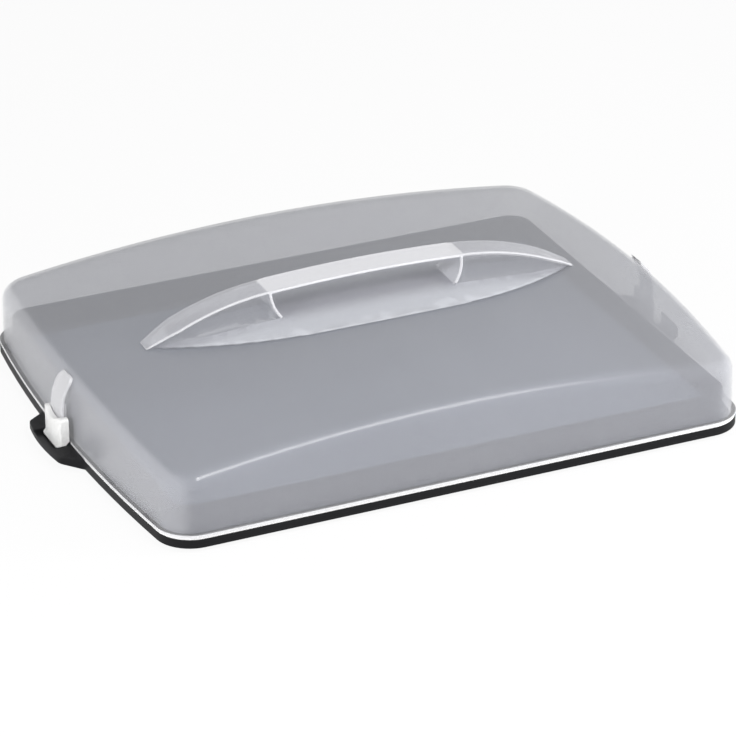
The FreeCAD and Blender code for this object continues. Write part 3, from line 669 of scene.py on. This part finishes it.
def dome_height(x, y):
    """The height of the lid's top at one place."""
    return LID_TOP - x**2 / 2 / CROWN_LENGTH - y**2 / 2 / CROWN_DEPTH


def handle_part(face):
    """Which skin a face of the handle has: the wings' top, the solid bar, the wings' sides or the
    foot.
    """
    spot, normal = face.calc_center_median(), face.normal
    below = arch_height(spot.x) - spot.z
    if abs(spot.x) < BAR_END and below < BAR_BELOW:
        return BAR
    if abs(normal.y) > SIDE_FACING and below > SIDE_BELOW and abs(spot.x) > GRIP_FOOT_HALF:
        return SIDE
    return FOOT if below > FOOT_BELOW and abs(normal.z) > LEVEL else WING


def handle_rounding(line):
    """The ridge's top edges are well rounded, those on the lid stay sharp, and the others are only
    broken.
    """
    ends = [end.co for end in line.verts]
    above = [end.z - dome_height(end.x, end.y) for end in ends]
    if min(above) < SEATED:
        return 0.0
    middle = (ends[0] + ends[1]) / 2
    if all(abs(arch_height(end.x) - end.z) < RIDGE_WITHIN for end in ends):
        along_side = abs(middle.y) > RIDGE_HALF and abs(middle.x) < HANDLE_HALF - TIP
        return 1.0 if along_side else BROKEN_EDGE
    return BROKEN_EDGE if middle.z - dome_height(middle.x, middle.y) > CLEAR_OF_LID else 0.0


handle_skin = frosted(
    "handle_frosted", (0.64, 0.645, 0.685), (0.69, 0.695, 0.735), clear=0.36, rough=0.26
)
# Rounded edges and the bead: a whiter skin, painted highlight for the light the edges catch.
edge_painted_highlight_skin = frosted(
    "handle_edge_painted_highlight", (0.72, 0.72, 0.75), (0.77, 0.77, 0.80), clear=0.08, rough=0.3
)
# The bar: a whiter, nearly opaque skin, painted light for the light that its top catches.
bar_painted_light_skin = frosted(
    "handle_bar_painted_light", (0.77, 0.77, 0.80), (0.82, 0.82, 0.85), clear=0.06, rough=0.26
)
# The wings' sides: a darker skin than their tops, painted shade.
side_painted_shade_skin = frosted(
    "handle_side_painted_shade", (0.36, 0.365, 0.395), (0.40, 0.405, 0.435), clear=0.58, rough=0.26
)
handle_foot = frosted(
    "handle_frosted_foot", (0.76, 0.775, 0.825), (0.81, 0.825, 0.875), clear=0.38, rough=0.26
)
# The foot's colour is painted darker along its middle: painted shade that the bar casts on it.
foot_tree = handle_foot.node_tree
foot_colour = foot_tree.nodes["Principled BSDF"].inputs["Base Color"]
foot_spot = parts(foot_tree, add(foot_tree, "ShaderNodeTexCoord", "spot").outputs["Object"])
out_of_bar_shade = add(
    foot_tree, "ShaderNodeMapRange", "painted bar shade", interpolation_type="SMOOTHSTEP",
    sockets={
        "Value": maths(foot_tree, "ABSOLUTE", foot_spot["Y"]),
        "From Min": BAR_SHADE_FULL,
        "From Max": BAR_SHADE_GONE,
    },
).outputs[0]
foot_tree.links.new(
    mixed(foot_tree, out_of_bar_shade, BAR_SHADE_TONE, foot_colour.links[0].from_socket), foot_colour
)
handle = softened(
    "carry_handle",
    "handle",
    HANDLE_EDGE,
    [handle_skin, edge_painted_highlight_skin, bar_painted_light_skin, side_painted_shade_skin, handle_foot],
    pick=handle_part,
    share=handle_rounding,
    join=False,
)
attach(handle, "lid")

BEAD, BEAD_SUNK, BEAD_DIP, BEAD_SIDES = 0.0011, 0.4, 0.0003, 12
END_STEPS, SPAN_STEPS = 12, 40
bead, bead_in, bead_out = new_group(
    "edge_bead",
    "GeometryNodeTree",
    [
        ("Path", "NodeSocketGeometry", None),
        ("Bead Radius", "NodeSocketFloat", 0.001),
        ("Sides", "NodeSocketInt", 12),
        ("Material", "NodeSocketMaterial", None),
    ],
    [("Geometry", "NodeSocketGeometry")],
)
bead_line = add(bead, "GeometryNodeMeshToCurve", "line", sockets={0: bead_in.outputs["Path"]})
bead_ring = add(
    bead, "GeometryNodeCurvePrimitiveCircle", "ring",
    sockets={"Resolution": bead_in.outputs["Sides"], "Radius": bead_in.outputs["Bead Radius"]},
)
bead_rod = add(
    bead, "GeometryNodeCurveToMesh", "rod",
    sockets={
        "Curve": bead_line.outputs[0],
        "Profile Curve": bead_ring.outputs[0],
        "Fill Caps": True,
    },
)
end_tree(bead, bead_rod.outputs[0], bead_in.outputs["Material"], bead_out)


def flank(x, z, side):
    """The point of the handle's front or back flank at one place of the front view, sunk by part of
    the bead.
    """
    below = ARCH_RADIUS - math.hypot(x, z - ARCH_CENTRE)
    return Vector((x, side * (BAR_HALF + below * SIDE_SLOPE - BEAD_SUNK * BEAD), z))


def opening_edge():
    """The finger opening's edge in front view, a bead's radius outside it, from foot to foot."""
    top_z = ARCH_CENTRE + math.sqrt((ARCH_RADIUS - BAR_THICK) ** 2 - GRIP_HALF**2)
    foot_z = dome_height(GRIP_FOOT_HALF, 0.0)
    inwards = GRIP_HALF - GRIP_FOOT_HALF
    end_radius = (inwards**2 + (top_z - foot_z) ** 2) / 2 / inwards
    reach = end_radius + BEAD
    lowest = math.asin((top_z - (LID_TOP - BEAD_DIP)) / reach)
    end = []
    for step in range(END_STEPS + 1):
        angle = -lowest * (1 - step / END_STEPS)
        x = GRIP_HALF - end_radius + reach * math.cos(angle)
        end.append((x, top_z + reach * math.sin(angle)))
    span = []
    for step in range(SPAN_STEPS + 1):
        x = GRIP_HALF * (1 - 2 * step / SPAN_STEPS)
        span.append((x, ARCH_CENTRE + math.sqrt((ARCH_RADIUS - BAR_THICK + BEAD) ** 2 - x**2)))
    return end + span + [(-x, z) for x, z in reversed(end)]


for face_name, side in (("front", -1), ("back", 1)):
    edge_points = [flank(x, z, side) for x, z in opening_edge()]
    path = bpy.data.meshes.new(f"grip_bead_{face_name}")
    path.from_pydata(edge_points, [(n, n + 1) for n in range(len(edge_points) - 1)], [])
    bead_sizes = {"Bead Radius": BEAD, "Sides": BEAD_SIDES}
    # The bead carries the edge skin's painted highlight.
    grip_bead = grown(bead, f"grip_bead_{face_name}", edge_painted_highlight_skin, start=path, **bead_sizes)
    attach(grip_bead, "lid")

# Keepers: the tongues that the clips close over, one on each end of the lid. They are moulded in
# the handle's plastic, bent inwards at the tip as a thumb rest, and stand off the lid's end wall on
# a rib.
KEEPER_EDGE, KEEPER_ANGLE = 0.0004, 50
keeper_skin = frosted(
    "keeper_frosted", (0.65, 0.65, 0.67), (0.71, 0.71, 0.73), clear=0.15, rough=0.26
)
for side in ("left", "right"):
    # The keepers' rounded edges carry the edge skin's painted highlight.
    keeper = softened(
        f"latch_{side}_keeper", f"keeper_{side}", KEEPER_EDGE, [keeper_skin, edge_painted_highlight_skin],
        angle=KEEPER_ANGLE,
    )
    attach(keeper, "lid")

# Studio: a white table in an even light tent, with two soft lamps in front and one at each side,
# and a camera far off with a long lens. Only the front lamps show in the gloss of the plastic. A
# lamp has its size, its watts, its place and the spot that it points at.
FLOOR_SIZE, FLOOR_WHITE = 14.0, 0.93
TENT_LIGHT = 0.19
LAMPS = [
    ("front_lamp", (0.90, 0.50), 9, (0.36, -0.89, 1.25), (-0.06, -0.13, 0.05)),
    ("front_end_lamp", (0.12, 0.50), 5.5, (-0.11, -1.15, 1.25), (-0.10, -0.13, 0.05)),
    ("left_lamp", (0.50, 0.50), 12, (-1.30, -0.50, 0.50), (0.0, 0.0, 0.05)),
    ("right_lamp", (0.50, 0.50), 17, (1.30, -0.75, 0.50), (0.0, 0.0, 0.05)),
]
CAMERA_TURN, CAMERA_RISE, CAMERA_ROLL = (math.radians(angle) for angle in (-23.9, 26.58, -0.4))
CAMERA_AIM, CAMERA_AWAY = Vector((0, 0, 0.010)), 2.903
CAMERA_LENS, CAMERA_SENSOR, CAMERA_REACH = 200.02, 36, 20
CAMERA_SHIFT = (0.0096, 0.0105)


def shown_white(tree):
    """1 for the rays that should meet a plain white studio: camera, glossy, transmission rays."""
    rays = add(tree, "ShaderNodeLightPath", "rays").outputs
    seen = maths(tree, "MAXIMUM", rays["Is Camera Ray"], rays["Is Glossy Ray"])
    return maths(tree, "MAXIMUM", seen, rays["Is Transmission Ray"])


bpy.ops.mesh.primitive_plane_add(size=FLOOR_SIZE)
floor = bpy.context.object
floor.name = "floor"
floor_white, floor_tree, floor_shader = new_material(
    "floor_white", Roughness=0.9, Base_Color=(0.9, 0.9, 0.9, 1)
)
floor_glow = add(floor_tree, "ShaderNodeEmission", "white", sockets={"Strength": 1.0})
floor_mix = add(
    floor_tree, "ShaderNodeMixShader", "white table",
    sockets={
        0: maths(floor_tree, "MULTIPLY", shown_white(floor_tree), FLOOR_WHITE),
        1: floor_shader.outputs[0],
        2: floor_glow.outputs[0],
    },
)
floor_tree.links.new(floor_mix.outputs[0], floor_tree.nodes["Material Output"].inputs[0])
floor.data.materials.append(floor_white)

world = bpy.data.worlds.new("light_tent")
bpy.context.scene.world = world
world.use_nodes = True
tent = world.node_tree
sky = tent.nodes["Background"]
sky.inputs["Color"].default_value = (1, 1, 1, 1)
strength = add(
    tent, "ShaderNodeMix", "strength", data_type="FLOAT",
    sockets={"Factor": shown_white(tent), 2: TENT_LIGHT, 3: 1.0},
)
tent.links.new(strength.outputs[0], sky.inputs["Strength"])

for lamp_name, size, watts, spot, aim in LAMPS:
    light = bpy.data.lights.new(lamp_name, "AREA")
    light.shape = "RECTANGLE"
    light.size, light.size_y = size
    light.energy = watts
    lamp = placed(lamp_name, light)
    lamp.location = spot
    lamp.rotation_euler = (Vector(aim) - Vector(spot)).to_track_quat("-Z", "Y").to_euler()
    lamp.visible_glossy = lamp_name.startswith("front")

out = math.cos(CAMERA_RISE)
towards = Vector(
    (math.sin(CAMERA_TURN) * out, -math.cos(CAMERA_TURN) * out, math.sin(CAMERA_RISE))
)
camera = placed("camera", bpy.data.cameras.new("camera"))
camera.location = CAMERA_AIM + towards * CAMERA_AWAY
camera.rotation_mode = "QUATERNION"
roll = Quaternion((0, 0, 1), CAMERA_ROLL)
camera.rotation_quaternion = (-towards).to_track_quat("-Z", "Y") @ roll
camera.data.lens = CAMERA_LENS
camera.data.sensor_width = CAMERA_SENSOR
camera.data.shift_x, camera.data.shift_y = CAMERA_SHIFT
camera.data.clip_end = CAMERA_REACH
bpy.context.scene.camera = camera
bpy.context.scene.view_settings.view_transform = "Standard"
bpy.context.scene.cycles.denoising_input_passes = "RGB"
